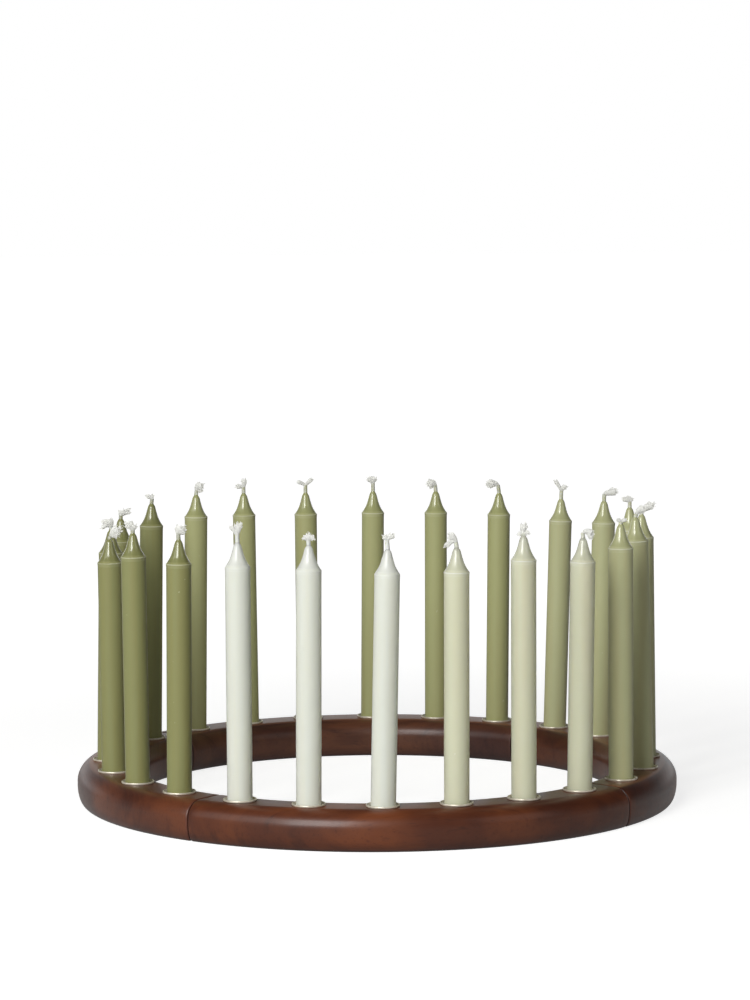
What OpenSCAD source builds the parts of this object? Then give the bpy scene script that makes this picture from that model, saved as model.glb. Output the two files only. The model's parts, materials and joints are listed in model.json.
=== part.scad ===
// Advent candle ring: four loose wooden quarter arcs stand end to end as a ring, each
// with six thin metal cups that hold slim wax candles. Z is up, the table is at zero,
// the ring's centre is the origin and the middle of the front arc lies towards -Y.

/* [Wooden ring] */
// Outer diameter of the ring
ring_d = 328; // [300:2:380]
// Width of the wood, from the inner to the outer side
ring_w = 34; // [32:0.5:48]
// Height of the wood
ring_h = 21; // [20:0.5:40]
// Rounding of the upper long edges
top_round = 9.5; // [2:0.5:10]
// How far the lower long edges are rounded in from the side
low_inset = 3.5; // [1:0.5:8]
// How far that rounding rises up the side
low_rise = 9.5; // [2:0.5:9.5]
// Eased edge round the end faces of an arc
end_ease = 1.2; // [0.4:0.1:2]
// Gap between the end faces of two neighbouring arcs
seam_gap = 0.2; // [0.1:0.05:1]

/* [Candle places] */
// Angle between neighbouring candles on one arc, in degrees
pitch_angle = 14.85; // [13:0.05:15]
// Depth of a cup, from the top of the wood to the cup's floor
cup_depth = 17; // [10:0.5:18]
// Thickness of the cup's sheet metal
sheet_t = 0.5; // [0.3:0.1:0.8]
// Width of the collar that lies on the wood, outside the cup's wall
collar_w = 1.4; // [0.8:0.1:3]
// Height of the rolled edge round the collar, over the wood
roll_h = 1.4; // [0.8:0.1:2]
// Width of the rolled edge
roll_w = 0.7; // [0.4:0.1:0.8]
// Gap between the cup's wall and the bore in the wood
cup_play = 0.05; // [0.03:0.01:0.3]
// Room under the cup's floor
cup_sink = 0.3; // [0.1:0.1:1]
// Gap between a candle and the cup's wall
candle_play = 0.3; // [0.25:0.05:0.8]

/* [Candles] */
// Diameter of a candle
candle_d = 13; // [10:0.5:15]
// Length of a full candle, from its foot to its shoulder
candle_l = 137.5; // [100:0.5:200]
// Height of the drawn-in cone over the shoulder
cone_h = 12.2; // [8:0.1:18]
// Chamfer round the candle's foot
foot_chamfer = 0.5; // [0.2:0.1:1]
// Height of the lip that the mould leaves at the shoulder
lip_h = 1.6; // [0.8:0.1:3]
// How far the lip stands out from the candle's side
lip_out = 0.15; // [0.05:0.05:0.3]
// Greatest lean of a hand-set candle, in degrees
lean_angle = 1.6; // [0:0.1:1.6]
// Wax round the wick's neck at the cone's tip
cone_tip_wall = 0.65; // [0.2:0.05:1]

/* [Wicks] */
// Diameter of the wick inside the wax
wick_d = 1.6; // [1:0.1:2.4]
// Gap between the wick and its bore in the wax
wick_play = 0.02; // [0.01:0.01:0.05]
// Height of the wick's lower end over the candle's foot
wick_end = 3; // [1:0.5:10]
// Diameter of the waxed neck over the cone
neck_d = 2.2; // [1.4:0.1:3]
// Reach of a wick's free end, which its own shares raise and push aside
wick_reach = 6; // [4:0.5:9]
// Width of a frayed tuft, which its own share sets
tuft_w = 7; // [4:0.5:9]
// Thickness of one frayed strand
strand_d = 0.9; // [0.5:0.1:1.4]

/* [Hidden] */
$fn = 48;
cut_over = 1;
arc_count = 4;
per_arc = 6;
candle_count = arc_count * per_arc;
arc_names = ["front", "right", "back", "left"];

function two_digits(n) = n < 10 ? str("0", n) : str(n);
function arc_name(a) = str("arc_", arc_names[a]);
function cups_name(a) = str("cups_", arc_names[a]);
function candle_name(n) = str("candle_", two_digits(n + 1));
function wick_name(n) = str("wick_", two_digits(n + 1));

// The ring's section and the arcs' ends
ring_mid_r = ring_d / 2 - ring_w / 2;
arc_angle = 360 / arc_count;
seam_angle = seam_gap / 2 / ring_mid_r * 180 / PI;
arc_half = arc_angle / 2 - seam_angle;
front_angle = -90;
corner_steps = 5;
ease_step_angle = 30;

// The cups and the bores that they stand in
cup_in_r = candle_d / 2 + candle_play;
cup_out_r = cup_in_r + sheet_t;
bore_r = cup_out_r + cup_play;
collar_r = cup_out_r + collar_w;
cup_floor = ring_h - cup_depth;

// The candles, which start a new arc at every sixth
cone_tip_r = neck_d / 2 + cone_tip_wall;
wick_bore_r = wick_d / 2 + wick_play;
neck_sides = 12;
strand_sides = 6;

// How much longer than a full candle each one is, as a share of its length
length_shares = [
    -0.001, -0.002, -0.015, -0.012, 0.019, -0.008,
    0.018, 0.018, 0.003, 0.005, 0.007, -0.005,
    0.006, 0.005, 0.003, 0.002, 0.01, 0.02,
    0.007, -0.029, -0.047, -0.054, -0.004, -0.007
];
// How far each candle leans towards +X, as a share of the greatest lean
lean_shares = [
    -0.1, 0.2, 0.75, 0.05, -0.05, 0.45,
    -0.15, -1, -0.5, 0, 0.8, 1,
    0.35, 0.05, 0.3, -0.2, -0.4, 0.45,
    0.55, 0.25, 0.65, -0.35, -0.35, 0.2
];
// The free end of each wick: its push towards +X and its rise, as shares of the reach,
// and the width and height of its tuft, as shares of the tuft's width
wick_shares = [
    [-0.2, 1.3, 0.9, 0.9], [0, 0.8, 0.95, 0.55], [0.05, 1.05, 0.9, 0.6],
    [-0.5, 0.55, 1, 0.9], [0.1, 0.6, 0.6, 0.95], [0.35, 0.4, 0.75, 0.7],
    [0.05, 0.45, 0.75, 0.35], [0.75, 0.75, 1, 0.55], [0.7, 0.75, 1, 0.85],
    [-0.25, 0.85, 0.95, 0.5], [0.55, 0.95, 1.2, 0.7], [-0.15, 1.4, 1.05, 0.9],
    [-0.55, 1, 1.1, 0.75], [-0.4, 0.8, 0.9, 0.7], [-0.15, 1.2, 0.85, 0.7],
    [-0.05, 1.15, 1.3, 0.65], [-0.35, 1.05, 0.9, 0.95], [0.35, 0.7, 0.9, 0.75],
    [-0.25, 0.65, 0.75, 0.5], [0.4, 0.65, 1.1, 0.65], [-0.35, 0.6, 1.2, 0.9],
    [0.75, 0.65, 0.8, 0.85], [-0.2, 0.7, 0.95, 0.85], [0.2, 0.9, 0.85, 0.85]
];
// Where the strands of a tuft end, as shares of half its width, depth and height
strand_shares = [
    [-1, 0.3, -0.3], [-0.75, -0.5, 0.55], [-0.25, 0.6, 0.9], [0.2, -0.6, 1],
    [0.7, 0.4, 0.6], [1, -0.2, -0.1], [0.1, 0.1, 0.75]
];
// The cone's outline over the shoulder: radius as a share of the candle's radius, and
// height as a share of the cone's
cone_shares = [[0.86, 0.07], [0.74, 0.17], [0.62, 0.31], [0.5, 0.48], [0.4, 0.68], [0.31, 0.87]];

// Wax from near white through cream and sage to olive, three or six candles a shade
shades = ["#e9ebdf", "#d6d5bb", "#adae83", "#a0a173", "#989969"];
function shade(n) = shades[n < 3 ? 0 : n < 6 ? 1 : n < 12 ? 2 : n < 18 ? 3 : 4];

function arc_dir(a) = front_angle + a * arc_angle;
function place_angle(n) =
    arc_dir(floor(n / per_arc)) + (n % per_arc - (per_arc - 1) / 2) * pitch_angle;
function own_l(n) = candle_l * (1 + length_shares[n]);
function lean(n) = lean_angle * lean_shares[n];

function unit(v) = v / norm(v);

// Points of one rounded corner of the section, inset by `in` and `rise` high
function corner(x, z, in, rise, from) = [
    for (k = [0 : corner_steps])
        let (a = from + 90 * k / corner_steps) [x + in * cos(a), z + rise * sin(a)]
];

// Section of the wood, centred on the candles' circle, with its foot at zero
function section() =
    let (top_x = ring_w / 2 - top_round, low_x = ring_w / 2 - low_inset)
    concat(
        corner(top_x, ring_h - top_round, top_round, top_round, 0),
        corner(-top_x, ring_h - top_round, top_round, top_round, 90),
        corner(-low_x, low_rise, low_inset, low_rise, 180),
        corner(low_x, low_rise, low_inset, low_rise, 270)
    );

// Distance of the section's edge from its middle, along a direction in degrees
function section_reach(a) =
    let (in = sin(a) > 0 ? top_round : low_inset, rise = sin(a) > 0 ? top_round : low_rise)
    abs(cos(a)) * (ring_w / 2 - in) + abs(sin(a)) * (ring_h / 2 - rise)
        + norm([in * cos(a), rise * sin(a)]);

// Puts its children at candle place n, upright and with zero at the table
module at_place(n) {
    rotate([0, 0, place_angle(n)])
        translate([ring_mid_r, 0, 0])
            rotate([0, 0, -place_angle(n)])
                children();
}

// Leans its children about the middle of the cup and lifts them till the foot's low
// edge meets the cup's floor
module leaned(n) {
    lift = candle_d / 2 * sin(abs(lean(n)));
    translate([0, 0, cup_floor + cup_depth / 2 + lift])
        rotate([0, lean(n), 0])
            translate([0, 0, -cup_depth / 2])
                children();
}

// Slanted cuts that ease the edges round the end face at local y = 0, wood towards -y
module end_easing() {
    block = ring_w;
    translate([ring_mid_r, 0, ring_h / 2])
        for (a = [0 : ease_step_angle : 360 - ease_step_angle])
            rotate([0, -a, 0])
                translate([section_reach(a) - end_ease, 0, 0])
                    rotate([0, 0, 45])
                        translate([0, -block / 2, -block / 2])
                            cube(block);
}

// One quarter of the ring, bored for its six cups
module arc(a) {
    color("#5b3a2e")
        difference() {
            rotate([0, 0, arc_dir(a) - arc_half])
                rotate_extrude(angle = 2 * arc_half)
                    translate([ring_mid_r, 0])
                        polygon(section());
            rotate([0, 0, arc_dir(a) + arc_half])
                end_easing();
            rotate([0, 0, arc_dir(a) - arc_half])
                mirror([0, 1, 0])
                    end_easing();
            for (n = [a * per_arc : (a + 1) * per_arc - 1])
                at_place(n)
                    translate([0, 0, cup_floor - sheet_t - cup_sink])
                        cylinder(r = bore_r, h = cup_depth + sheet_t + cup_sink + cut_over);
        }
}

// A drawn metal cup with a collar and a rolled edge
module cup() {
    roll_in = collar_r - roll_w;
    rotate_extrude()
        polygon([
            [0, cup_floor - sheet_t],
            [cup_out_r, cup_floor - sheet_t],
            [cup_out_r, ring_h],
            [collar_r - roll_w / 4, ring_h],
            [collar_r, ring_h + roll_h / 3],
            [collar_r, ring_h + roll_h * 2 / 3],
            [collar_r - roll_w / 4, ring_h + roll_h],
            [roll_in + roll_w / 4, ring_h + roll_h],
            [roll_in, ring_h + sheet_t],
            [cup_in_r, ring_h + sheet_t],
            [cup_in_r, cup_floor],
            [0, cup_floor]
        ]);
}

// The six cups of one arc
module cups(a) {
    color("#d9cfb4")
        for (n = [a * per_arc : (a + 1) * per_arc - 1])
            at_place(n) cup();
}

// Half outline of a candle's wax, from its foot to the cone's tip
function wax_outline(n) =
    let (r = candle_d / 2, l = own_l(n))
    concat(
        [
            [0, 0],
            [r - foot_chamfer, 0],
            [r, foot_chamfer],
            [r, l - lip_h],
            [r + lip_out, l - lip_h * 3 / 4],
            [r + lip_out, l - lip_h / 4],
            [r, l]
        ],
        [for (p = cone_shares) [r * p[0], l + cone_h * p[1]]],
        [[cone_tip_r, l + cone_h], [0, l + cone_h]]
    );

// One candle's wax, bored for its wick
module candle(n) {
    color(shade(n))
        at_place(n)
            leaned(n)
                difference() {
                    rotate_extrude() polygon(wax_outline(n));
                    translate([0, 0, wick_end])
                        cylinder(r = wick_bore_r, h = own_l(n) + cone_h);
                }
}

// A straight strand between two points, with flat sides
module strand(from, to, d, sides) {
    v = to - from;
    translate(from)
        rotate([0, acos(v[2] / norm(v)), atan2(v[1], v[0])])
            cylinder(d = d, h = norm(v), $fn = sides);
}

// One wick: straight through the wax, a waxed neck that bends, and a frayed tuft
module wick(n) {
    own = wick_shares[n];
    neck_foot = [0, 0, own_l(n) + cone_h + neck_d / 2];
    middle = neck_foot + [own[0] * wick_reach, 0, own[1] * wick_reach - neck_d / 2];
    half = [own[2] * tuft_w / 2, own[2] * tuft_w / 3, own[3] * tuft_w / 2];
    knot = middle - [own[0] * wick_reach / 4, 0, half[2] / 2];
    neck_top = knot + unit(knot - neck_foot) * neck_d / 3;
    color("#eeeee6")
        at_place(n)
            leaned(n)
                union() {
                    translate([0, 0, wick_end])
                        cylinder(d = wick_d, h = neck_foot[2] + neck_d / 4 - wick_end);
                    strand(neck_foot, neck_top, neck_d, neck_sides);
                    for (s = strand_shares) {
                        tip = middle + [for (k = [0 : 2]) s[k] * half[k]];
                        strand(knot - unit(tip - knot) * strand_d / 2, tip, strand_d, strand_sides);
                    }
                }
}

for (a = [0 : arc_count - 1]) arc(a);
for (a = [0 : arc_count - 1]) cups(a);
for (n = [0 : candle_count - 1]) candle(n);
for (n = [0 : candle_count - 1]) wick(n);
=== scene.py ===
import json
import math
import bmesh
import bpy
from mathutils import Matrix, Vector


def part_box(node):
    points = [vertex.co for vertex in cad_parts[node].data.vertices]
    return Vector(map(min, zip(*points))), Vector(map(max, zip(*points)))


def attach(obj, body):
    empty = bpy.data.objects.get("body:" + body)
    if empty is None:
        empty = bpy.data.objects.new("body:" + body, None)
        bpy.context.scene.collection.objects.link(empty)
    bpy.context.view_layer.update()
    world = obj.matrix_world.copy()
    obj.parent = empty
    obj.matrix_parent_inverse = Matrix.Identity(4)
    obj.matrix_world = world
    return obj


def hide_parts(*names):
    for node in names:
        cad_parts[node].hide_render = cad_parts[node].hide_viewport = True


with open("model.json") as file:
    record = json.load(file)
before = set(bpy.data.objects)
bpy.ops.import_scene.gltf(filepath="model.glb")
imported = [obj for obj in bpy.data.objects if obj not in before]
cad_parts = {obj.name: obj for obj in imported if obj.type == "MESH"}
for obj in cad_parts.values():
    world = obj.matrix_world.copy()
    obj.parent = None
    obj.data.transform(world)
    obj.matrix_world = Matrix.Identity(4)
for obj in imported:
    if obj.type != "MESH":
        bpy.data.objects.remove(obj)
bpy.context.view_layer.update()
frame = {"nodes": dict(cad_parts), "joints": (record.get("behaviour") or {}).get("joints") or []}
scene = bpy.context.scene
scene.view_settings.view_transform = "Standard"
mm = 0.001
print("frame loaded:", len(frame["nodes"]), "nodes")

# the camera, fitted to the candles' shoulders and feet
view = {
    "place": (-0.28341, -1.88309, 0.34303),
    "turn": 8.543,  # degrees, from +Y towards +X
    "down": 5.394,
    "roll": -0.24,
    "lens": 126.26,
}
cameraData = bpy.data.cameras.new("camera")
camera = bpy.data.objects.new("camera", cameraData)
scene.collection.objects.link(camera)
scene.camera = camera
cameraData.sensor_width = 36
cameraData.lens = view["lens"]
cameraData.clip_end = 50
camera.matrix_world = (
    Matrix.Translation(view["place"])
    @ Matrix.Rotation(math.radians(-view["turn"]), 4, "Z")
    @ Matrix.Rotation(math.radians(90 - view["down"]), 4, "X")
    @ Matrix.Rotation(math.radians(view["roll"]), 4, "Z")
)
print("camera set")


class Socket:  # a node's output, on which sums are written as plain Python
    def __init__(self, graph, plug):
        self.graph = graph
        self.plug = plug

    def other(self, name):
        return Socket(self.graph, self.plug.node.outputs[name])

    def __add__(self, other):
        return self.graph.sum("ADD", self, other)

    def __sub__(self, other):
        return self.graph.sum("SUBTRACT", self, other)

    def __rsub__(self, other):
        return self.graph.sum("SUBTRACT", other, self)

    def __mul__(self, other):
        return self.graph.sum("MULTIPLY", self, other)

    def __truediv__(self, other):
        return self.graph.sum("DIVIDE", self, other)

    def __pow__(self, other):
        return self.graph.sum("POWER", self, other)

    __radd__ = __add__
    __rmul__ = __mul__


class Graph:  # makes the nodes of one tree
    def __init__(self, tree):
        self.tree = tree

    def node(self, kind, settings=None, inputs=None, out=0):
        made = self.tree.nodes.new(kind)
        for name, value in (settings or {}).items():
            setattr(made, name, value)
        for key, value in (inputs or {}).items():
            plug = made.inputs[key]
            for part in value if isinstance(value, list) else [value]:  # a list is several links
                if isinstance(part, Socket):
                    self.tree.links.new(part.plug, plug)
                else:
                    plug.default_value = part
        return Socket(self, made.outputs[out]) if len(made.outputs) else None

    def sum(self, operation, *values):
        return self.node("ShaderNodeMath", {"operation": operation}, dict(enumerate(values)))

    def limited(self, value):  # kept between 0 and 1
        return self.node("ShaderNodeMath", {"operation": "ADD", "use_clamp": True}, {0: value, 1: 0.0})

    def vector(self, x, y, z):
        return self.node("ShaderNodeCombineXYZ", {}, {"X": x, "Y": y, "Z": z})

    def parts(self, vector):
        x = self.node("ShaderNodeSeparateXYZ", {}, {"Vector": vector})
        return x, x.other("Y"), x.other("Z")


def newMaterial(name):
    material = bpy.data.materials.new(name)
    material.use_nodes = True
    material.node_tree.nodes.clear()
    return material, Graph(material.node_tree)


def finishMaterial(graph, inputs):
    surface = graph.node("ShaderNodeBsdfPrincipled", {}, inputs)
    graph.node("ShaderNodeOutputMaterial", {}, {"Surface": surface})


def objectPoint(graph):
    return graph.node("ShaderNodeTexCoord", {}, {}, "Object")


def placed(graph, vector, shift=(0, 0, 0), turn=(0, 0, 0), scale=(1, 1, 1)):
    inputs = {"Vector": vector, "Location": shift, "Rotation": turn, "Scale": scale}
    return graph.node("ShaderNodeMapping", {}, inputs)


def noise(graph, vector, scale=1, detail=2, rough=0.5, bend=0):
    inputs = {"Vector": vector, "Scale": scale, "Detail": detail, "Roughness": rough, "Distortion": bend}
    return graph.node("ShaderNodeTexNoise", {}, inputs)


def ramp(graph, value, low, high):  # 0 at low, 1 at high, smooth between
    inputs = {"Value": value, "From Min": low, "From Max": high}
    return graph.node("ShaderNodeMapRange", {"interpolation_type": "SMOOTHSTEP"}, inputs)


def blended(graph, one, two, share):
    return graph.node("ShaderNodeMix", {"data_type": "RGBA"}, {0: share, 6: one, 7: two}, 2)


def bumped(graph, height, strength, distance):
    return graph.node("ShaderNodeBump", {}, {"Strength": strength, "Distance": distance, "Height": height})


def band(graph, value, low, high, soft):  # 1 between low and high
    return ramp(graph, value, low - soft, low) * (1 - ramp(graph, value, high, high + soft))


ring = {
    "middle": 147 * mm,
    "width": 34 * mm,
    "height": 21 * mm,
    "topRound": 9.5 * mm,
    "lowInset": 3.5 * mm,
    "lowRise": 9.5 * mm,
    "endEase": 1.2 * mm,
    "seamGap": 0.06 * mm,  # less than the frame's 0.2 mm, so that no bright line shows through a seam
    "cutOver": 2 * mm,  # how far the bores' cutters rise over the wood
    "stations": 74,
    "cornerPoints": 26,
    "easeSteps": 6,
}
cup = {
    "depth": 17 * mm,
    "inside": 6.8 * mm,
    "sheet": 0.5 * mm,
    "collar": 1.4 * mm,
    "rollHeight": 1.15 * mm,
    "rollWidth": 0.62 * mm,
    "bore": 7.35 * mm,
    "sink": 0.3 * mm,
    "boreSides": 64,
    "perArc": 6,
    "pitch": math.radians(14.85),
}
candle = {
    "radius": 6.5 * mm,
    "cone": 12.2 * mm,
    "foot": 0.5 * mm,
    "tip": 1.75 * mm,  # radius of the cone's tip in the frame
    # how far the lip at the shoulder stands out
    "lipOut": {
        "white": 0.05 * mm, "cream": 0.12 * mm, "sage": 0.17 * mm, "moss": 0.17 * mm, "olive": 0.17 * mm,
    },
    "sideFrom": 3 * mm,  # the plain side starts over the foot
    "sideTo": 2.4 * mm,  # and ends under the shoulder
    "sideRows": 30,
    "columns": 56,  # the cups have as many
    "ripple": 0.016,  # the wax's slight swelling, and its noise round the candle and up it
    "rippleAcross": 7.0,
    "rippleAlong": 30,
    "rippleScale": 0.22,
    "rippleStep": 3.1,  # from one candle's seed to the next one's
}


def standing(number):  # where a candle stands on the ring
    arc, place = divmod(number, cup["perArc"])
    angle = math.radians(90 * arc - 90) + (place - (cup["perArc"] - 1) / 2) * cup["pitch"]
    return ring["middle"] * math.cos(angle), ring["middle"] * math.sin(angle)


wood = {
    "dark": (0.022, 0.0068, 0.005),
    "brown": (0.090, 0.0245, 0.0108),
    "amber": (0.192, 0.052, 0.0165),
    "edge": (0.150, 0.045, 0.024),
    "boardToneAndShade": {  # how each arc's board differs from the front one, which is the most amber: partly the boards' own tone, partly painted shade on the arcs behind and at the sides, and in their greyer, bluer share a painted reflection of the white floor
        "front": (1.0, 1.0, 1.0),
        "right": (0.64, 0.72, 0.95),
        "back": (0.70, 0.95, 1.55),
        "left": (0.82, 0.90, 1.15),
    },
    "top": (0.30, 0.125, 0.06),  # the flat top, lighter on the arcs behind: a painted reflection of the white backdrop at grazing angles
    "topReflectionShare": {"front": 0.0, "right": 0.6, "back": 0.65, "left": 0.65},
    "topReflectionRamp": (20.2 * mm, 20.9 * mm),
    "leftShadeLoss": 0.85,  # painted shade: how much less of the painted reflection the left arc's top has beside the front arc
    "leftShadeRamp": (0, 50 * mm),
    "frontRightShade": 0.35,  # painted shade: how much darker the front arc's right part, turned away from the key lamp, is
    "frontRightShadeRamp": (-20 * mm, 70 * mm),
    "ringShare": 0.5,  # how dark the growth rings, the fibres and the pores are
    "fibreShare": 0.3,
    "poreShare": 0.3,
    "footShadeShare": 0.6,  # painted shade: darker low down, and most along the foot by the floor
    "footShadeRamp": (0.4 * mm, 2.2 * mm),
    "lowShadeShare": 0.35,
    "lowShadeRamp": (2 * mm, 6.5 * mm),
    "edgeShare": 0.5,  # the worn edge round an arc's end, and the dark end face
    "edgeBand": (0.5 * mm, 1.1 * mm, 0.3 * mm),
    "endShare": 0.7,
    "endRamp": (0.2 * mm, 0.6 * mm),
    "grainDepth": 0.3 * mm,
    "boardStep": (0.37, 0.61, 0.23),  # from one arc's place in the noises to the next one's
    "roughness": 0.3,
    "specular": 0.32,
    "coat": 0.2,
    "coatRoughness": 0.2,
}


def scaled(colour, shares):
    return tuple(part * share for part, share in zip(colour, shares)) + (1,)


def woodMaterial(arc, turn, shift, toneAndShade):
    material, graph = newMaterial("wood_" + arc)
    # each arc's colours carry its board's own tone together with painted shade and a painted floor
    # reflection
    dark, brown, amber, edge = (scaled(wood[key], toneAndShade) for key in ("dark", "brown", "amber", "edge"))
    board = placed(graph, objectPoint(graph), turn=(0, 0, -turn))  # every arc is turned to the front
    x, y, z = graph.parts(board)
    cloud = noise(graph, placed(graph, board, shift, scale=(16, 30, 26)), 1, 3, 0.55, 0.4)
    rings = noise(graph, placed(graph, board, shift, scale=(14, 210, 46)), 1, 4, 0.6, 0.3)
    fibres = noise(graph, placed(graph, board, shift, scale=(70, 1500, 420)), 1, 3, 0.6)
    pores = noise(graph, placed(graph, board, shift, scale=(110, 2300, 1500)), 1, 1)
    pores = ramp(graph, pores, 0.64, 0.74)
    stain = blended(graph, brown, amber, ramp(graph, cloud, 0.36, 0.64))
    stain = blended(graph, stain, dark, ramp(graph, rings, 0.5, 0.78) * wood["ringShare"])
    stain = blended(graph, stain, dark, ramp(graph, fibres, 0.52, 0.75) * wood["fibreShare"])
    stain = blended(graph, stain, dark, pores * wood["poreShare"])
    # painted reflection: the flat top is lighter on the arcs behind the front one
    top = ramp(graph, z, *wood["topReflectionRamp"]) * wood["topReflectionShare"][arc]
    if arc == "left":  # painted shade: its end beside the front arc has little of the painted reflection
        top = top * (1 - wood["leftShadeLoss"] * ramp(graph, x, *wood["leftShadeRamp"]))
    stain = blended(graph, stain, (*wood["top"], 1), top)
    # painted shade on the front arc's right part
    if arc == "front":
        stain = blended(graph, stain, dark, ramp(graph, x, *wood["frontRightShadeRamp"]) * wood["frontRightShade"])
    # painted shade low down and along the foot
    stain = blended(graph, stain, dark, (1 - ramp(graph, z, *wood["footShadeRamp"])) * wood["footShadeShare"])
    stain = blended(graph, stain, dark, (1 - ramp(graph, z, *wood["lowShadeRamp"])) * wood["lowShadeShare"])
    fromEnd = (math.pi / 4 - graph.sum("ABSOLUTE", graph.sum("ARCTAN2", x, 0 - y))) * ring["middle"]
    worn = band(graph, fromEnd, *wood["edgeBand"]) * ramp(graph, cloud, 0.35, 0.65)
    stain = blended(graph, stain, edge, worn * wood["edgeShare"])
    stain = blended(graph, stain, dark, (1 - ramp(graph, fromEnd, *wood["endRamp"])) * wood["endShare"])
    height = fibres * 0.5 + rings * 0.6 - pores * 0.8
    finishMaterial(graph, {
        "Base Color": stain,
        "Roughness": wood["roughness"] + cloud * 0.1 + fibres * 0.08,
        "Specular IOR Level": wood["specular"],
        "Coat Weight": wood["coat"],
        "Coat Roughness": wood["coatRoughness"],
        "Normal": bumped(graph, height, 0.16, wood["grainDepth"]),
    })
    return material


wax = {
    "white": ((0.80, 0.825, 0.74), (0.81, 0.82, 0.71)),  # its own colour, and the warmer one in its streaks
    "cream": ((0.71, 0.72, 0.525), (0.72, 0.705, 0.51)),
    "sage": ((0.54, 0.55, 0.31), (0.545, 0.53, 0.29)),
    "moss": ((0.455, 0.465, 0.222), (0.455, 0.45, 0.21)),
    "olive": ((0.29, 0.297, 0.122), (0.295, 0.288, 0.112)),
    "coneShadeShare": {  # the cone's colour beside the body's: partly the glossier cone's own deeper colour, partly painted shade, as the cone faces the dark above
        "white": (0.99, 0.98, 1.0),
        "cream": (0.93, 0.93, 0.95),
        "sage": (0.91, 0.92, 0.86),
        "moss": (0.86, 0.87, 0.82),
        "olive": (0.84, 0.84, 0.80),
    },
    # how clear the painted highlight, a pale line on the shoulder's edge, is
    "line": {"white": 0.1, "cream": 0.8, "sage": 1.0, "moss": 1.0, "olive": 1.0},
    "roughness": 0.42,
    "specular": 0.4,
    "sheen": 0.2,
    "sheenRoughness": 0.25,
    "coneCoat": {"white": 0.4, "cream": 0.65, "sage": 0.9, "moss": 0.9, "olive": 0.9},
    "coneGloss": {"white": 0.22, "cream": 0.2, "sage": 0.17, "moss": 0.17, "olive": 0.17},
    "coatRoughness": 0.17,
    "coatIor": 1.52,
    # how much light goes through, and how deep
    "glow": {"white": 0.75, "cream": 0.8, "sage": 0.3, "moss": 0.2, "olive": 0.1},
    "depth": {"white": 7 * mm, "cream": 14 * mm, "sage": 2 * mm, "moss": 1.5 * mm, "olive": 1 * mm},
    "coneRamp": (0.3 * mm, 1.6 * mm),
    "coneBlend": 0.75,
    "cloudBlend": 0.15,
    "lipBand": (-1.8 * mm, -0.3 * mm, 0.25 * mm),
    "lipBlend": 0.16,
    "shoulderHighlightBand": (-0.28 * mm, 0.12 * mm, 0.1 * mm),
    "speckBlend": 0.3,
    "neckPale": (0.5, 0.46),  # the neck's colours: a share of the wax's own, and what is added to it
    "neckSoaked": (0.8, 0.16),
    "chipShare": 0.6,
    "chipRagged": 2.4,  # how far a chip's edge strays, as a share of its radius
    "chips": {  # candle, turned left from -Y in degrees, how far under the shoulder, radius
        "olive": [("candle_24", -31, 7.8 * mm, 0.7 * mm), ("candle_24", -1, 14 * mm, 0.65 * mm)],
        "cream": [("candle_04", 17, 92 * mm, 0.55 * mm)],
    },
}


def waxMaterial(shade):
    material, graph = newMaterial("wax_" + shade)
    own, warm = ((*colour, 1) for colour in wax[shade])
    point = objectPoint(graph)
    rise = graph.node("ShaderNodeAttribute", {"attribute_name": "rise"}, {}, "Fac")  # over the shoulder
    streaks = noise(graph, placed(graph, point, scale=(230, 230, 7)), 1, 2, 0.5)
    clouds = noise(graph, placed(graph, point, scale=(60, 60, 18)), 1, 3, 0.6)
    specks = noise(graph, placed(graph, point, scale=(420, 420, 300)), 1, 1)
    specks = ramp(graph, specks, 0.78, 0.82)
    colour = blended(graph, own, warm, ramp(graph, streaks, 0.35, 0.7))
    pale = tuple(part ** 0.5 for part in own[:3]) + (1,)
    # painted shade, with the cone's own deeper colour: the cone darker than the body
    deep = scaled(own, wax["coneShadeShare"][shade])
    cone = ramp(graph, rise, *wax["coneRamp"])
    cloudy = ramp(graph, clouds, 0.45, 0.8) * wax["cloudBlend"]
    colour = blended(graph, colour, deep, cloudy + cone * wax["coneBlend"])
    lip = band(graph, rise, *wax["lipBand"]) * wax["lipBlend"]
    # painted highlight: a pale line along the shoulder's edge
    line = band(graph, rise, *wax["shoulderHighlightBand"]) * (0.6 + 0.4 * ramp(graph, clouds, 0.42, 0.5))
    line = line * wax["line"][shade]
    colour = blended(graph, colour, pale, graph.limited(lip + line + specks * wax["speckBlend"]))
    grain = noise(graph, placed(graph, point, scale=(1500, 1500, 1500)), 1, 2)
    for name, turn, down, radius in wax["chips"].get(shade, ()):
        x, y = standing(int(name[-2:]) - 1)
        turn = math.radians(turn)
        x, y = x - candle["radius"] * math.sin(turn), y - candle["radius"] * math.cos(turn)
        spot = (x, y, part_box(name)[1].z - candle["cone"] - down)
        away = graph.node("ShaderNodeVectorMath", {"operation": "DISTANCE"}, {0: point, 1: spot}, "Value")
        ragged = away + (grain - 0.5) * wax["chipRagged"] * radius
        chip = (1 - ramp(graph, ragged, 0.4 * radius, 0.9 * radius)) * wax["chipShare"]
        colour = blended(graph, colour, pale, chip)
    uneven = noise(graph, placed(graph, point, scale=(160, 160, 40)), 1, 3, 0.5)
    finishMaterial(graph, {
        "Base Color": colour,
        "Roughness": wax["roughness"] - cone * (wax["roughness"] - wax["coneGloss"][shade]) + clouds * 0.08,
        "Specular IOR Level": wax["specular"],
        "Subsurface Weight": wax["glow"][shade],
        "Subsurface Radius": (1.0, 1.0, 0.95),
        "Subsurface Scale": wax["depth"][shade],
        "Coat Weight": cone * wax["coneCoat"][shade],  # the cone is dipped once more and shines
        "Coat Roughness": wax["coatRoughness"],
        "Coat IOR": wax["coatIor"],
        "Sheen Weight": wax["sheen"],
        "Sheen Roughness": wax["sheenRoughness"],
        "Normal": bumped(graph, uneven, 0.25, 0.3 * mm),
    })
    return material


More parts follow.
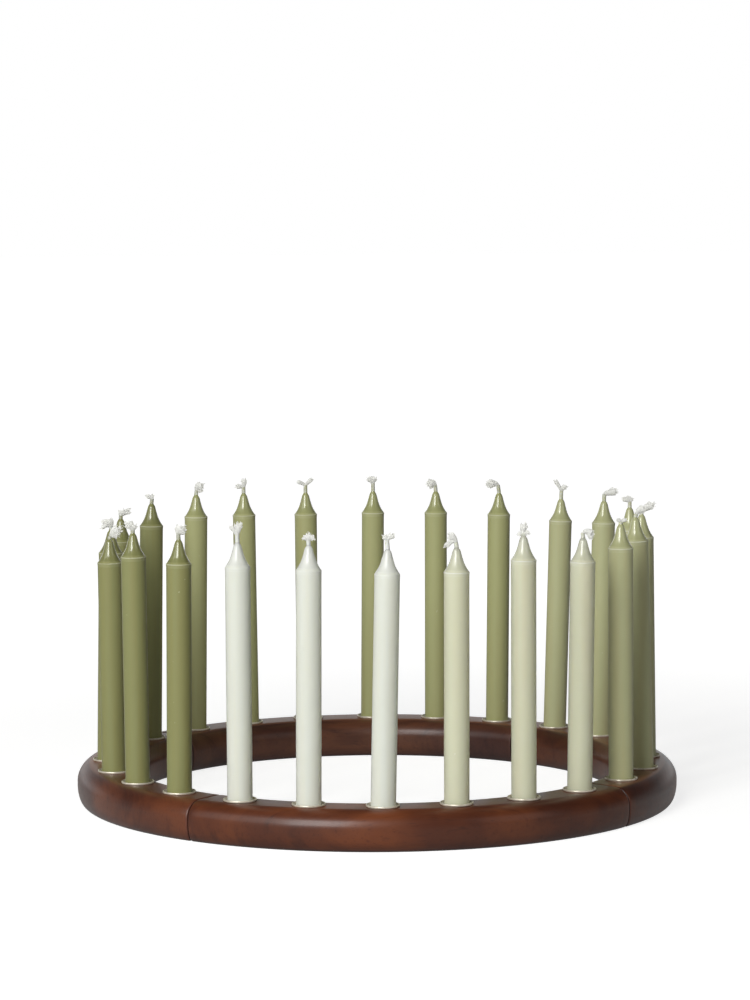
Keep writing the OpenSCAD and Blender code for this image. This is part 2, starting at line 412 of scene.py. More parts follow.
def neckMaterial(shade):  # cotton that the wax has soaked
    material, graph = newMaterial("waxed_wick_" + shade)
    pale, soaked = (
        tuple(share * part + more for part in wax[shade][0]) + (1,)
        for share, more in (wax["neckPale"], wax["neckSoaked"])
    )
    point = objectPoint(graph)
    weave = noise(graph, placed(graph, point, scale=(900, 900, 500)), 1, 2)
    finishMaterial(graph, {
        "Base Color": blended(graph, soaked, pale, ramp(graph, weave, 0.35, 0.65)),
        "Roughness": 0.38 + weave * 0.2,
        "Subsurface Weight": 0.3,
        "Subsurface Radius": (1.0, 0.9, 0.6),
        "Subsurface Scale": 1 * mm,
        "Normal": bumped(graph, weave, 0.5, 0.2 * mm),
    })
    return material


tuft = {
    "ivory": (0.94, 0.94, 0.91),
    "pale": (0.98, 0.98, 0.96),
    "cover": 0.8,
    "through": 0.5,
    "seed": 11,
    "strands": 84,
    "strand": 0.5 * mm,
    "taper": 0.4,
    "joints": 8,
    "sides": 5,
    "curl": 1.5 * mm,
    "footSpread": 0.7 * mm,
    "spread": (1.5, 1.0, 1.25),  # in x, y and z, as shares of the lobe's half width
    "aimShare": 0.6,  # how much of their spread the strands have where they bend
    "fillLow": 0.66,  # how full the lobe is inside
    "fillHigh": 0.34,
    "swayScale": 420.0,
    "swayApart": 1.4,
    "core": 1.7 * mm,  # the fluff that fills a lobe, at its foot
    "coreEnd": 2.5,  # and how wide it grows, as a share of the lobe's half width
    "coreReach": 0.9,
    "coreCurl": 0.5 * mm,
    "coreSides": 12,
    "neck": 2.3 * mm,
    "neckFoot": 0.5 * mm,
    "neckArch": 0.3 * mm,
    "neckOver": 0.5 * mm,
    "neckCurl": 0.3 * mm,
    "neckTaper": 0.06,
    "neckJoints": 12,
    "neckSides": 14,
}


def cottonMaterial():
    material, graph = newMaterial("cotton")
    fluff = noise(graph, placed(graph, objectPoint(graph), scale=(700, 700, 700)), 1, 3)
    thread = graph.node("ShaderNodeBsdfPrincipled", {}, {
        "Base Color": blended(graph, (*tuft["ivory"], 1), (*tuft["pale"], 1), ramp(graph, fluff, 0.3, 0.6)),
        "Roughness": 0.8 + fluff * 0.15,
        "Alpha": tuft["cover"],
        "Specular IOR Level": 0.2,
        "Sheen Weight": 0.4,
        "Sheen Roughness": 0.6,
    })
    # fluff lets light through
    through = graph.node("ShaderNodeBsdfTranslucent", {}, {"Color": (*tuft["pale"], 1)})
    mixed = graph.node("ShaderNodeMixShader", {}, {0: tuft["through"], 1: thread, 2: through})
    graph.node("ShaderNodeOutputMaterial", {}, {"Surface": mixed})
    return material


sheetLook = {"worn": (0.72, 0.66, 0.53), "bright": (0.88, 0.83, 0.70), "metallic": 0.45, "roughness": 0.26}


def metalMaterial():
    material, graph = newMaterial("cup_metal")
    worn, bright = ((*sheetLook[key], 1) for key in ("worn", "bright"))
    point = objectPoint(graph)
    dull = noise(graph, placed(graph, point, scale=(300, 300, 120)), 1, 3, 0.6)
    marks = noise(graph, placed(graph, point, scale=(2200, 2200, 90)), 1, 2)
    finishMaterial(graph, {
        "Base Color": blended(graph, worn, bright, ramp(graph, dull, 0.35, 0.7)),
        "Metallic": sheetLook["metallic"],
        "Roughness": sheetLook["roughness"] + dull * 0.2 + marks * 0.06,
        "Normal": bumped(graph, marks, 0.1, 0.1 * mm),
    })
    return material


shadeNames = ["white"] * 3 + ["cream"] * 3 + ["sage"] * 6 + ["moss"] * 6 + ["olive"] * 6
waxes = {shade: waxMaterial(shade) for shade in dict.fromkeys(shadeNames)}
necks = {shade: neckMaterial(shade) for shade in waxes}
cotton = cottonMaterial()
metal = metalMaterial()
print("materials made")


def newTree(name, sizes):
    tree = bpy.data.node_groups.new(name, "GeometryNodeTree")
    for label, kind in sizes.items():
        tree.interface.new_socket(name=label, in_out="INPUT", socket_type="NodeSocket" + kind)
    tree.interface.new_socket(name="Geometry", in_out="OUTPUT", socket_type="NodeSocketGeometry")
    graph = Graph(tree)
    source = graph.node("NodeGroupInput")
    return graph, {label: source.other(label) for label in sizes}


def finishTree(graph, geometry, material):
    real = graph.node("GeometryNodeRealizeInstances", {}, {"Geometry": geometry})
    painted = graph.node("GeometryNodeSetMaterial", {}, {"Geometry": real, "Material": material})
    graph.node("NodeGroupOutput", {}, {"Geometry": painted})
    return graph.tree


def grown(name, tree, values):  # runs a tree once and keeps what it makes as a plain mesh
    holder = bpy.data.objects.new(name, bpy.data.meshes.new(name))
    scene.collection.objects.link(holder)
    modifier = holder.modifiers.new("tree", "NODES")
    modifier.node_group = tree
    for item in tree.interface.items_tree:
        if item.in_out == "INPUT":
            modifier[item.identifier] = values[item.name]
    mesh = bpy.data.meshes.new_from_object(holder.evaluated_get(bpy.context.evaluated_depsgraph_get()))
    holder.modifiers.remove(modifier)
    bpy.data.objects.remove(holder)
    return mesh


def finished(name, mesh, body, nodes, crease=30):
    mesh.name = name
    mesh.shade_smooth()
    mesh.set_sharp_from_angle(angle=math.radians(crease))
    piece = bpy.data.objects.new(name, mesh)
    scene.collection.objects.link(piece)
    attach(piece, body)
    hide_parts(*nodes)


def joined(meshes):  # several meshes in one, each with its own material
    whole = bmesh.new()
    materials = []
    for mesh in meshes:
        first = len(whole.faces)
        whole.from_mesh(mesh)
        whole.faces.ensure_lookup_table()
        slotIndex = len(materials)
        if mesh.materials[0] in materials:
            slotIndex = materials.index(mesh.materials[0])
        else:
            materials.append(mesh.materials[0])
        for face in whole.faces[first:]:
            face.material_index = slotIndex
    result = bpy.data.meshes.new("joined")
    whole.to_mesh(result)
    whole.free()
    for material in materials:
        result.materials.append(material)
    return result


def gridRows(graph, columns, rows):  # a unit grid, with the column's and row's own numbers
    inputs = {"Size X": 1.0, "Size Y": 1.0, "Vertices X": columns, "Vertices Y": rows}
    grid = graph.node("GeometryNodeMeshGrid", {}, inputs)
    x, y, _ = graph.parts(graph.node("GeometryNodeInputPosition"))
    return grid, x + 0.5, y + 0.5


def moved(graph, geometry, position):
    inputs = {"Geometry": geometry, "Position": position}
    return graph.node("GeometryNodeSetPosition", {}, inputs)


def merged(graph, geometry):
    return graph.node("GeometryNodeMergeByDistance", {}, {"Geometry": geometry, "Distance": 0.001 * mm})


def onCircle(graph, radius, angle, height):
    return graph.vector(radius * graph.sum("COSINE", angle), radius * graph.sum("SINE", angle), height)


def inRow(graph, size, count):  # the angle of each place in an arc's row of equal steps
    return size["Direction"] + (graph.node("GeometryNodeInputIndex") - (count - 1) / 2) * size["Pitch"]


def arcTree():  # a rounded section swept along a quarter circle, drawn in at both ends, and bored
    graph, size = newTree("arcTree", {
        "Middle Radius": "Float", "Width": "Float", "Height": "Float", "Top Round": "Float",
        "Low Inset": "Float", "Low Rise": "Float", "End Ease": "Float", "Half Angle": "Float",
        "Direction": "Float", "Pitch": "Float", "Bores": "Int", "Bore Radius": "Float",
        "Bore Floor": "Float", "Wood": "Material",
    })
    stations, steps, corner = ring["stations"], ring["easeSteps"], ring["cornerPoints"]
    grid, along, around = gridRows(graph, stations, 4 * corner + 1)
    # the section: four quarter ellipses with straight sides between them
    point = graph.sum("ROUND", around * (4 * corner))
    quarter = graph.sum("FLOOR", (point + 0.5) / corner)
    turn = (quarter + (point - quarter * corner) / (corner - 1)) * (math.pi / 2)
    facing = (quarter + 0.5) * (math.pi / 2)
    sideways = graph.sum("SIGN", graph.sum("COSINE", facing))
    upwards = graph.sum("SIGN", graph.sum("SINE", facing))
    isTop = graph.sum("GREATER_THAN", upwards, 0.0)
    roundX = isTop * size["Top Round"] + (1 - isTop) * size["Low Inset"]
    roundZ = isTop * size["Top Round"] + (1 - isTop) * size["Low Rise"]
    cosine, sine = graph.sum("COSINE", turn), graph.sum("SINE", turn)
    sectionX = sideways * (size["Width"] / 2 - roundX) + roundX * cosine
    sectionZ = upwards * (size["Height"] / 2 - roundZ) + roundZ * sine
    outX, outZ = cosine / roundX, sine / roundZ
    outLength = graph.sum("SQRT", outX * outX + outZ * outZ)
    # both ends are eased by a quarter circle, and the outermost stations close them
    station = graph.sum("ROUND", along * (stations - 1))
    near = graph.sum("MINIMUM", station, stations - 1 - station)
    ease = graph.limited((near - 2) / steps) * (math.pi / 2)
    support = graph.sum("LESS_THAN", near, 1.5) * (size["End Ease"] / 2)
    inset = size["End Ease"] * (1 - graph.sum("SINE", ease)) + support
    rest = graph.limited((near - 2 - steps) / ((stations - 1) / 2 - 2 - steps))
    half = size["Half Angle"] * size["Middle Radius"]
    back = size["End Ease"] * (1 - graph.sum("COSINE", ease)) + rest * (half - size["End Ease"])
    side = graph.sum("SIGN", along - 0.5)
    angle = size["Direction"] + side * (size["Half Angle"] - back / size["Middle Radius"])
    isFull = graph.sum("GREATER_THAN", near, 0.5)
    out = (sectionX - outX / outLength * inset) * isFull
    up = (sectionZ - outZ / outLength * inset) * isFull
    position = onCircle(graph, size["Middle Radius"] + out, angle, up + size["Height"] / 2)
    sweep = merged(graph, moved(graph, grid, position))
    place = inRow(graph, size, size["Bores"])
    top = size["Height"] + ring["cutOver"]
    middle = onCircle(graph, size["Middle Radius"], place, (top + size["Bore Floor"]) / 2)
    points = graph.node("GeometryNodePoints", {}, {"Count": size["Bores"], "Position": middle})
    cutter = graph.node("GeometryNodeMeshCylinder", {}, {
        "Vertices": cup["boreSides"], "Radius": size["Bore Radius"], "Depth": top - size["Bore Floor"],
    })
    cutters = graph.node("GeometryNodeInstanceOnPoints", {}, {"Points": points, "Instance": cutter})
    cutters = graph.node("GeometryNodeRealizeInstances", {}, {"Geometry": cutters})
    bored = graph.node("GeometryNodeMeshBoolean", {"operation": "DIFFERENCE", "solver": "EXACT"}, {
        "Mesh 1": sweep, "Mesh 2": cutters,
    })
    return finishTree(graph, bored, size["Wood"])


arcNames = ["front", "right", "back", "left"]
arcs = arcTree()
for number, name in enumerate(arcNames):
    direction = math.radians(90 * number - 90)
    shift = tuple(step * number for step in wood["boardStep"])
    board = woodMaterial(name, math.radians(90 * number), shift, wood["boardToneAndShade"][name])
    mesh = grown("wood_arc_" + name, arcs, {
        "Middle Radius": ring["middle"], "Width": ring["width"], "Height": ring["height"],
        "Top Round": ring["topRound"], "Low Inset": ring["lowInset"], "Low Rise": ring["lowRise"],
        "End Ease": ring["endEase"], "Half Angle": math.pi / 4 - ring["seamGap"] / 2 / ring["middle"],
        "Direction": direction, "Pitch": cup["pitch"], "Bores": cup["perArc"], "Bore Radius": cup["bore"],
        "Bore Floor": ring["height"] - cup["depth"] - cup["sheet"] - cup["sink"], "Wood": board,
    })
    finished("wood_arc_" + name, mesh, name + "_arc", ["arc_" + name], 40)
print("wooden arcs swept and bored")


# cups and candles are turned from a half outline
def outline(name, points):
    mesh = bpy.data.meshes.new(name)
    mesh.from_pydata([(r, 0, z) for r, z in points], [(k, k + 1) for k in range(len(points) - 1)], [])
    holder = bpy.data.objects.new(name, mesh)
    scene.collection.objects.link(holder)
    return holder


def turnedTree():
    graph, size = newTree("turnedTree", {
        "Outline": "Object", "Rows": "Int", "Shoulder": "Float", "Ripple": "Float", "Ripple Seed": "Float",
        "Finish": "Material",
    })
    shape = graph.node("GeometryNodeObjectInfo", {}, {"Object": size["Outline"]}, "Geometry")
    grid, around, along = gridRows(graph, candle["columns"] + 1, size["Rows"])
    row = graph.sum("ROUND", along * (size["Rows"] - 1))
    sample = graph.node("GeometryNodeSampleIndex", {"data_type": "FLOAT_VECTOR"}, {
        "Geometry": shape, "Value": graph.node("GeometryNodeInputPosition"), "Index": row,
    })
    radius, _, height = graph.parts(sample)
    turn = around * (2 * math.pi)
    upwards = height * candle["rippleAlong"] + size["Ripple Seed"]
    onRim = onCircle(graph, candle["rippleAcross"], turn, upwards)
    wave = noise(graph, onRim, candle["rippleScale"], 2, 0.5) - 0.5
    swell = 1 + size["Ripple"] * wave
    grid = graph.node("GeometryNodeStoreNamedAttribute", {"data_type": "FLOAT", "domain": "POINT"}, {
        "Geometry": grid, "Name": "rise", "Value": height - size["Shoulder"],
    })
    body = merged(graph, moved(graph, grid, onCircle(graph, radius * swell, turn, height)))
    return finishTree(graph, body, size["Finish"])


def rowTree():  # one piece repeated along an arc
    graph, size = newTree("rowTree", {
        "Piece": "Object", "Count": "Int", "Middle Radius": "Float", "Pitch": "Float", "Direction": "Float",
        "Finish": "Material",
    })
    place = inRow(graph, size, size["Count"])
    foot = onCircle(graph, size["Middle Radius"], place, 0.0)
    points = graph.node("GeometryNodePoints", {}, {"Count": size["Count"], "Position": foot})
    piece = graph.node("GeometryNodeObjectInfo", {}, {"Object": size["Piece"]}, "Geometry")
    row = graph.node("GeometryNodeInstanceOnPoints", {}, {
        "Points": points, "Instance": piece, "Rotation": graph.vector(0.0, 0.0, place),
    })
    return finishTree(graph, row, size["Finish"])


turned = turnedTree()


def turnedMesh(name, points, shoulder, ripple, seed, finish):
    holder = outline(name + "_outline", points)
    mesh = grown(name, turned, {
        "Outline": holder, "Rows": len(points), "Shoulder": shoulder, "Ripple": ripple, "Ripple Seed": seed,
        "Finish": finish,
    })
    bpy.data.objects.remove(holder)
    return mesh


def cupOutline():
    top, floor = ring["height"], ring["height"] - cup["depth"]
    inside, outside = cup["inside"], cup["inside"] + cup["sheet"]
    rim = outside + cup["collar"]
    radius = cup["rollWidth"] / 2
    points = [(0, floor - cup["sheet"]), (outside - 0.6 * mm, floor - cup["sheet"])]
    points += [(outside - 0.2 * mm, floor - 0.4 * mm), (outside, floor)]
    points += [(outside, top - 0.5 * mm), (outside + 0.2 * mm, top)]
    for step in range(13):  # the rolled edge, from its foot over its top and in
        angle = math.radians(-90 + 22.5 * step)
        points.append((
            rim - radius + radius * math.cos(angle),
            top + cup["rollHeight"] / 2 + cup["rollHeight"] / 2 * math.sin(angle),
        ))
    points += [(rim - 2 * radius - 0.1 * mm, top + cup["sheet"]), (inside + 0.4 * mm, top + cup["sheet"])]
    points += [(inside + 0.1 * mm, top + 0.35 * mm), (inside, top)]
    points += [(inside, floor + 0.3 * mm), (inside - 0.3 * mm, floor), (0, floor)]
    return points


rows = rowTree()
oneCup = bpy.data.objects.new("oneCup", turnedMesh("oneCup", cupOutline(), 0.0, 0.0, 0.0, metal))
scene.collection.objects.link(oneCup)
for number, name in enumerate(arcNames):
    mesh = grown("cup_row_" + name, rows, {
        "Piece": oneCup, "Count": cup["perArc"], "Middle Radius": ring["middle"], "Pitch": cup["pitch"],
        "Direction": math.radians(90 * number - 90), "Finish": metal,
    })
    finished("cup_row_" + name, mesh, name + "_arc", ["cups_" + name], 50)
bpy.data.objects.remove(oneCup)
print("cups turned and set in rows")


lipShape = [  # millimetres under the shoulder, share of the lip's width
    (1.9, 0.06), (1.5, 0.25), (1.0, 0.5), (0.6, 0.75), (0.3, 0.95), (0.12, 1.0), (0.03, 0.85), (-0.02, 0.3),
]
coneShape = [  # height as a share of the cone's, radius as a share of the candle's
    (0.012, 0.975), (0.05, 0.93), (0.085, 0.888), (0.123, 0.848), (0.165, 0.797), (0.213, 0.745),
    (0.26, 0.697), (0.311, 0.65), (0.36, 0.61), (0.41, 0.573), (0.508, 0.51), (0.607, 0.456),
    (0.697, 0.408), (0.795, 0.36), (0.86, 0.327), (0.905, 0.297), (0.945, 0.255), (0.975, 0.215),
    (1.0, 0.185), (1.04, 0.166), (1.05, 0.0),
]


def candleOutline(length, out):
    radius, foot = candle["radius"], candle["foot"]
    points = [(0, 0), (radius - foot, 0), (radius - 0.3 * foot, 0.3 * foot), (radius, foot)]
    rows = candle["sideRows"]
    low, high = candle["sideFrom"], length - candle["sideTo"]
    points += [(radius, low + (high - low) * k / rows) for k in range(rows + 1)]
    points += [(radius + out * share, length - down * mm) for down, share in lipShape]
    points += [
        (radius * share, length + candle["cone"] * height + 0.04 * mm) for height, share in coneShape
    ]
    return points


def strandTree():  # strands that leave one place, bend over and end apart
    graph, size = newTree("strandTree", {
        "Count": "Int", "Foot": "Vector", "Aim": "Vector", "Tip": "Vector", "Foot Spread": "Float",
        "Spread": "Vector", "Curl": "Float", "Thickness": "Float", "Taper": "Float", "Joints": "Int",
        "Sides": "Int", "Seed": "Int", "Finish": "Material",
    })
    line = graph.node("GeometryNodeCurvePrimitiveLine", {}, {"End": (0.0, 0.0, 1.0)})
    line = graph.node("GeometryNodeResampleCurve", {"mode": "COUNT"}, {
        "Curve": line, "Count": size["Joints"],
    })
    many = graph.node("GeometryNodeDuplicateElements", {"domain": "SPLINE"}, {
        "Geometry": line, "Amount": size["Count"],
    })
    number = many.other("Duplicate Index")
    many = graph.node("GeometryNodeStoreNamedAttribute", {"data_type": "FLOAT", "domain": "POINT"}, {
        "Geometry": many, "Name": "strand", "Value": number,
    })
    strand = graph.node("GeometryNodeInputNamedAttribute", {"data_type": "FLOAT"}, {"Name": "strand"})

    def chance(seed):
        return graph.node("FunctionNodeRandomValue", {"data_type": "FLOAT_VECTOR"}, {
            0: (-1.0, -1.0, -1.0), 1: (1.0, 1.0, 1.0), "ID": strand, "Seed": size["Seed"] + seed,
        })

    def vectorSum(operation, one, two):
        key = "Scale" if operation == "SCALE" else 1
        return graph.node("ShaderNodeVectorMath", {"operation": operation}, {0: one, key: two})

    t = graph.node("GeometryNodeSplineParameter")
    foot = vectorSum("ADD", size["Foot"], vectorSum("SCALE", chance(1), size["Foot Spread"]))
    ball = graph.node("ShaderNodeVectorMath", {"operation": "NORMALIZE"}, {0: chance(2)})
    depth = graph.parts(chance(4))[0]
    ball = vectorSum("SCALE", ball, tuft["fillLow"] + tuft["fillHigh"] * depth)
    # the strands fan out from their foot to a wide ragged end
    reach = vectorSum("MULTIPLY", ball, size["Spread"])
    tip = vectorSum("ADD", size["Tip"], reach)
    aim = vectorSum("ADD", size["Aim"], vectorSum("SCALE", reach, tuft["aimShare"]))
    path = vectorSum("SCALE", foot, (1 - t) ** 2)
    path = vectorSum("ADD", path, vectorSum("SCALE", aim, 2 * t * (1 - t)))
    path = vectorSum("ADD", path, vectorSum("SCALE", tip, t * t))
    apart = vectorSum("SCALE", chance(3), tuft["swayApart"])
    swayPoint = vectorSum("ADD", vectorSum("SCALE", path, tuft["swayScale"]), apart)
    sway = graph.node("ShaderNodeTexNoise", {}, {"Vector": swayPoint, "Scale": 1.0, "Detail": 1.0}, "Color")
    sway = vectorSum("SUBTRACT", sway, (0.5, 0.5, 0.5))
    path = vectorSum("ADD", path, vectorSum("SCALE", sway, size["Curl"] * t))
    many = moved(graph, many, path)
    thin = size["Thickness"] / 2 * (1 - size["Taper"] * t)
    many = graph.node("GeometryNodeSetCurveRadius", {}, {"Curve": many, "Radius": 1.0})
    circle = graph.node("GeometryNodeCurvePrimitiveCircle", {}, {
        "Resolution": size["Sides"], "Radius": 1.0,
    })
    tube = graph.node("GeometryNodeCurveToMesh", {}, {
        "Curve": many, "Profile Curve": circle, "Scale": thin, "Fill Caps": True,
    })
    return finishTree(graph, tube, size["Finish"])


# where each wick leaves its neck, and its frayed lobes, over the cone's tip:
# bend x and z, end x and z, half width, share of the strands (millimetres, x towards +X)
tufts = [
    ((0, 4.1), [(0, 6.1, 0.8, 9.4, 1.9, 0.7), (-1, 6.1, -3.3, 8.6, 1, 0.3)]),
    ((-0.2, 2.5), [(-0.3, 5, -2.5, 4, 1.3, 0.35), (0, 5, 2.5, 4, 1.3, 0.35), (0, 4, 0, 5.8, 1.8, 0.3)]),
    ((-0.5, 5), [(-0.5, 6, -2, 7, 1.3, 0.4), (0, 6, 2.5, 7.8, 1.5, 0.6)]),
    ((-0.5, 2.5), [(-0.5, 5, -3.5, 6.3, 1.8, 0.55), (-2, 4.8, -5.5, 0.8, 1.2, 0.45)]),
    ((-0.5, 1), [
        (-0.5, 3, 0.5, 5.8, 1.8, 0.5), (-1, 1.8, -2.3, 1, 1.1, 0.25), (0.5, 2.5, 2.3, 1.5, 1.1, 0.25),
    ]),
    ((-0.3, 2.1), [(0.5, 4.6, 4.4, 2.6, 1.5, 0.55), (1.5, 4.9, 4.4, 0, 1.1, 0.45)]),
    ((0, 1.3), [(-0.5, 2.6, -1.8, 2.7, 0.9, 0.5), (0.5, 2.6, 2.6, 2.6, 0.9, 0.5)]),
    ((0.5, 1.6), [(1.1, 4.3, 4.3, 4.8, 1.8, 1)]),
    ((0, 1.1), [(0.5, 3.3, 6, 5.4, 2.1, 0.8), (1.1, 2.7, 2.7, 3.8, 1.4, 0.2)]),
    ((0, 3), [
        (-0.6, 4.4, -3.6, 5, 1.2, 0.4), (0, 4.4, 1.4, 5.1, 1.1, 0.25), (-0.6, 4.4, -1.1, 6.1, 1.4, 0.35),
    ]),
    ((0, 3.7), [(0.6, 4.5, 6.2, 5.9, 2.1, 0.85), (1.1, 5.1, 2.8, 5.1, 1.2, 0.15)]),
    ((0, 4.8), [(-0.6, 6.8, -3.7, 10.5, 1, 0.45), (0.6, 6.3, 2.3, 7.4, 1.4, 0.55)]),
    ((-0.6, 4.3), [(-1.2, 6.3, -5.8, 5.5, 2.3, 1)]),
    ((-0.3, 3.5), [(-0.6, 6.1, -4.1, 4.9, 2.2, 0.75), (-1.2, 5.2, -3.5, 2.9, 1.4, 0.25)]),
    ((0, 4.6), [(-0.6, 6.4, -2.3, 8.1, 1.7, 0.6), (0.3, 6.4, 1.2, 8.4, 1.2, 0.4)]),
    ((0, 4.3), [(-0.6, 5.5, -4.3, 6.8, 1, 0.5), (0.6, 5.8, 3.8, 8.1, 1.1, 0.5)]),
    ((0, 3.5), [(-0.6, 4.6, -4, 4.6, 1.3, 0.5), (0.3, 5.2, 0.5, 8.1, 1.4, 0.5)]),
    ((0.3, 2.6), [(0.3, 5.1, 2.8, 5.4, 2.3, 0.8), (1.1, 3.4, 3.1, 2.3, 1.1, 0.2)]),
    ((0.2, 2.5), [(0, 3.9, -2.8, 4.5, 1.1, 0.5), (0.2, 3.9, 0.6, 5.2, 0.8, 0.5)]),
    ((0, 1.7), [
        (0, 3.3, 0.8, 4.4, 2, 0.6), (1.1, 3.9, 5.2, 5.8, 0.8, 0.2), (1.7, 3.3, 5.2, 3.6, 0.7, 0.2),
    ]),
    ((0.1, 1.9), [
        (0, 4.3, -1.4, 5.1, 2.2, 0.65), (-1.6, 4.9, -4.9, 4.9, 1.1, 0.15), (-2.2, 3.8, -4.9, 1.4, 1.1, 0.2),
    ]),
    ((0.8, 1.6), [(2.1, 4.8, 4.8, 5.3, 2.4, 0.7), (2.1, 2.7, 4.5, 2.1, 1.6, 0.3)]),
    ((0, 1.6), [(-0.5, 3.7, -2.1, 5.2, 2.2, 0.65), (0.5, 3.1, 1, 4.4, 1.6, 0.35)]),
    ((-0.2, 3.1), [(-0.3, 5.1, 1.5, 6.4, 2.6, 0.75), (1, 4.1, 3.1, 4.6, 1.5, 0.25)]),
]
strands = strandTree()
single = {"Count": 1, "Foot Spread": 0.0, "Spread": (0, 0, 0)}  # one strand that stays in the middle


def wickMeshes(name, number, shade, tip):
    foot, lobes = tufts[number]
    footPoint = Vector((foot[0], 0, foot[1])) * mm
    lift = Vector((0, 0, tip))
    start = Vector((0, 0, tuft["neckFoot"]))
    neck = grown(name + "_neck", strands, {
        "Foot": lift + start, "Aim": lift + start.lerp(footPoint, 0.5) + Vector((0, 0, tuft["neckArch"])),
        "Tip": lift + footPoint + Vector((0, 0, tuft["neckOver"])), "Curl": tuft["neckCurl"],
        "Thickness": tuft["neck"], "Taper": tuft["neckTaper"], "Joints": tuft["neckJoints"],
        "Sides": tuft["neckSides"], "Seed": number, "Finish": necks[shade], **single,
    })
    meshes = [neck]
    for part, (aimX, aimZ, endX, endZ, half, share) in enumerate(lobes):
        aim, end = lift + Vector((aimX, 0, aimZ)) * mm, lift + Vector((endX, 0, endZ)) * mm
        both = {
            "Foot": lift + footPoint, "Aim": aim, "Joints": tuft["joints"],
            "Seed": tuft["seed"] + 10 * number + 3 * part, "Finish": cotton,
        }
        meshes.append(grown(name + "_core", strands, {
            "Tip": aim.lerp(end, tuft["coreReach"]), "Curl": tuft["coreCurl"], "Thickness": tuft["core"],
            "Taper": 1 - tuft["coreEnd"] * half * mm / tuft["core"], "Sides": tuft["coreSides"],
            **both, **single,
        }))
        meshes.append(grown(name + "_lobe", strands, {
            "Count": round(tuft["strands"] * share), "Tip": end, "Foot Spread": tuft["footSpread"],
            "Spread": Vector([half * times for times in tuft["spread"]]) * mm, "Curl": tuft["curl"],
            "Thickness": tuft["strand"], "Taper": tuft["taper"], "Sides": tuft["sides"], **both,
        }))
    return meshes


leans = {joint["child"]: joint["axis"] for joint in frame["joints"]}
pivot = ring["height"] - cup["depth"] / 2
for number, shade in enumerate(shadeNames):
    name = "candle_%02d" % (number + 1)
    axis = leans[name]
    lean = math.atan2(axis[0], axis[2])
    lift = candle["radius"] * abs(math.sin(lean))
    above = (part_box(name)[1].z - pivot - lift - candle["tip"] * abs(math.sin(lean))) / math.cos(lean)
    length = above + cup["depth"] / 2 - candle["cone"]
    place = Matrix.Translation((*standing(number), pivot + lift))
    place = place @ Matrix.Rotation(lean, 4, "Y") @ Matrix.Translation((0, 0, -cup["depth"] / 2))
    waxName, wickName = "wax_%02d" % (number + 1), "wick_yarn_%02d" % (number + 1)
    sides = candleOutline(length, candle["lipOut"][shade])
    seed = candle["rippleStep"] * number
    body = turnedMesh(waxName, sides, length, candle["ripple"], seed, waxes[shade])
    body.transform(place)
    finished(waxName, body, name, [name], 35)
    whole = joined(wickMeshes(wickName, number, shade, length + candle["cone"]))
    whole.transform(place)
    finished(wickName, whole, name, ["wick_%02d" % (number + 1)], 80)
print("candles turned and wicks frayed")

# floor and lights
stage = {
    "floor": (0.5, 0.5, 0.49),
    "nearGlow": 0.8,
    "farGlow": 1.0,
    "floorGloss": 0.3,  # how much of the glow the wax and metal reflect
    "world": 0.13,
    "sides": 0.17,  # how bright the studio's walls beside the white backdrop are in reflections
    "backFrom": 0.6,  # where the backdrop starts, in directions towards +Y
    "backTo": 0.9,
    "overhead": 0.12,  # how bright it is above the backdrop
    "overFrom": 0.13,
    "overTo": 0.32,
    "glowFrom": 0.25,
    "glowTo": 0.9,
    "reach": 12,
}
floorMaterial, graph = newMaterial("floor")
rays = graph.node("ShaderNodeLightPath", {}, {}, "Is Camera Ray")
mirrored = rays.other("Is Glossy Ray") * stage["floorGloss"]
seen = graph.limited(rays + mirrored + rays.other("Is Transmission Ray"))
matte = graph.node("ShaderNodeBsdfDiffuse", {}, {"Color": (*stage["floor"], 1)})
away = graph.node("ShaderNodeVectorMath", {"operation": "LENGTH"}, {0: objectPoint(graph)}, "Value")
far = ramp(graph, away, stage["glowFrom"], stage["glowTo"])
white = stage["nearGlow"] + far * (stage["farGlow"] - stage["nearGlow"])
glow = graph.node("ShaderNodeEmission", {}, {"Color": (1, 1, 1, 1), "Strength": seen * white})
both = graph.node("ShaderNodeAddShader", {}, {0: matte, 1: glow})
graph.node("ShaderNodeOutputMaterial", {}, {"Surface": both})
floorMesh = bpy.data.meshes.new("floor")
corners = [(x * stage["reach"], y * stage["reach"], 0) for x, y in ((-1, -1), (1, -1), (1, 1), (-1, 1))]
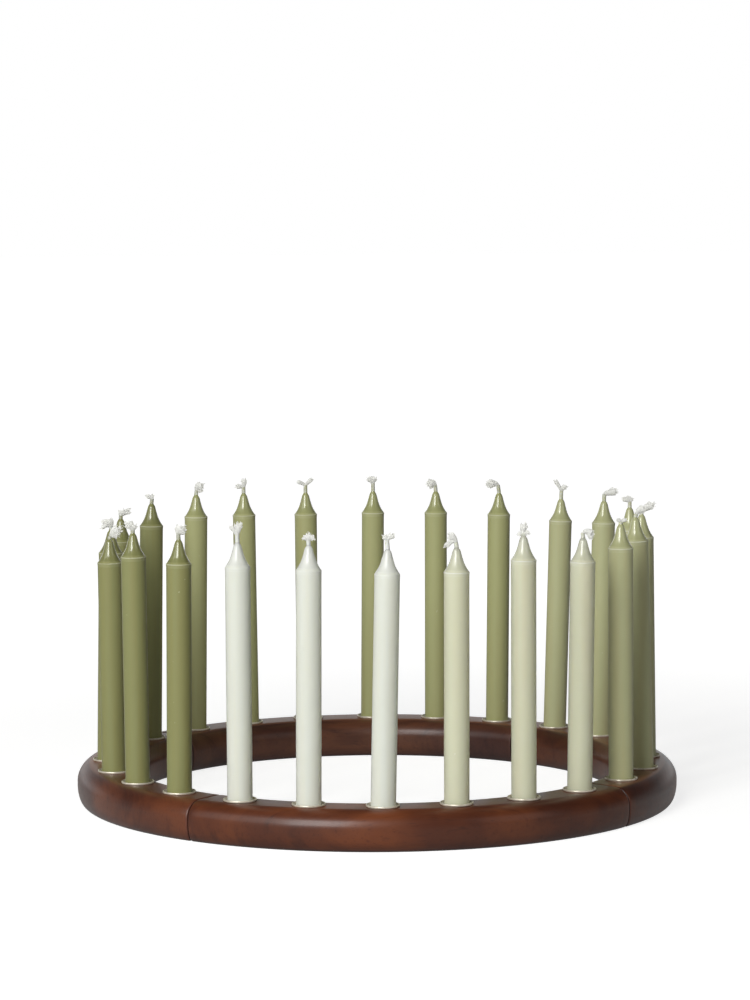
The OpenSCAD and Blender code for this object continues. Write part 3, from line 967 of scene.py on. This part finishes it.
floorMesh.from_pydata(corners, [], [(0, 1, 2, 3)])
floorMesh.materials.append(floorMaterial)
floor = bpy.data.objects.new("floor", floorMesh)
scene.collection.objects.link(floor)

world = bpy.data.worlds.new("studio")
world.use_nodes = True
world.node_tree.nodes.clear()
scene.world = world
graph = Graph(world.node_tree)
rays = graph.node("ShaderNodeLightPath", {}, {}, "Is Camera Ray")
seen = graph.limited(rays + rays.other("Is Transmission Ray"))
_, y, rise = graph.parts(graph.node("ShaderNodeTexCoord", {}, {}, "Generated"))
behind = ramp(graph, y, stage["backFrom"], stage["backTo"])
mirrored = rays.other("Is Glossy Ray") * (stage["sides"] + behind * (1 - stage["sides"]))
level = 1 - ramp(graph, rise, stage["overFrom"], stage["overTo"]) * (1 - stage["overhead"])
strength = seen + (1 - seen) * (stage["world"] + mirrored * (1 - stage["world"])) * level
sky = graph.node("ShaderNodeBackground", {}, {"Color": (1, 1, 1, 1), "Strength": strength})
graph.node("ShaderNodeOutputWorld", {}, {"Surface": sky})

lampAim = 0.08  # how high over the floor the lamps point
lamps = [  # turned from the front towards the left, and raised, in degrees
    {"name": "key", "turn": 31, "rise": 27, "away": 2.2, "size": (0.85, 1.25), "power": 36},
    {"name": "side", "turn": 68, "rise": 27, "away": 2.2, "size": (1.2, 1.2), "power": 7},
    {"name": "fill", "turn": -46, "rise": 24, "away": 2.2, "size": (1.2, 1.2), "power": 3.5},
]
for lamp in lamps:
    data = bpy.data.lights.new(lamp["name"], "AREA")
    data.shape = "RECTANGLE"
    data.size, data.size_y = lamp["size"]
    data.energy = lamp["power"]
    light = bpy.data.objects.new(lamp["name"], data)
    scene.collection.objects.link(light)
    turn, rise = math.radians(lamp["turn"]), math.radians(lamp["rise"])
    outward = Vector((-math.sin(turn) * math.cos(rise), -math.cos(turn) * math.cos(rise), math.sin(rise)))
    light.location = outward * lamp["away"] + Vector((0, 0, lampAim))
    light.rotation_euler = outward.to_track_quat("Z", "Y").to_euler()
print("stage lit")
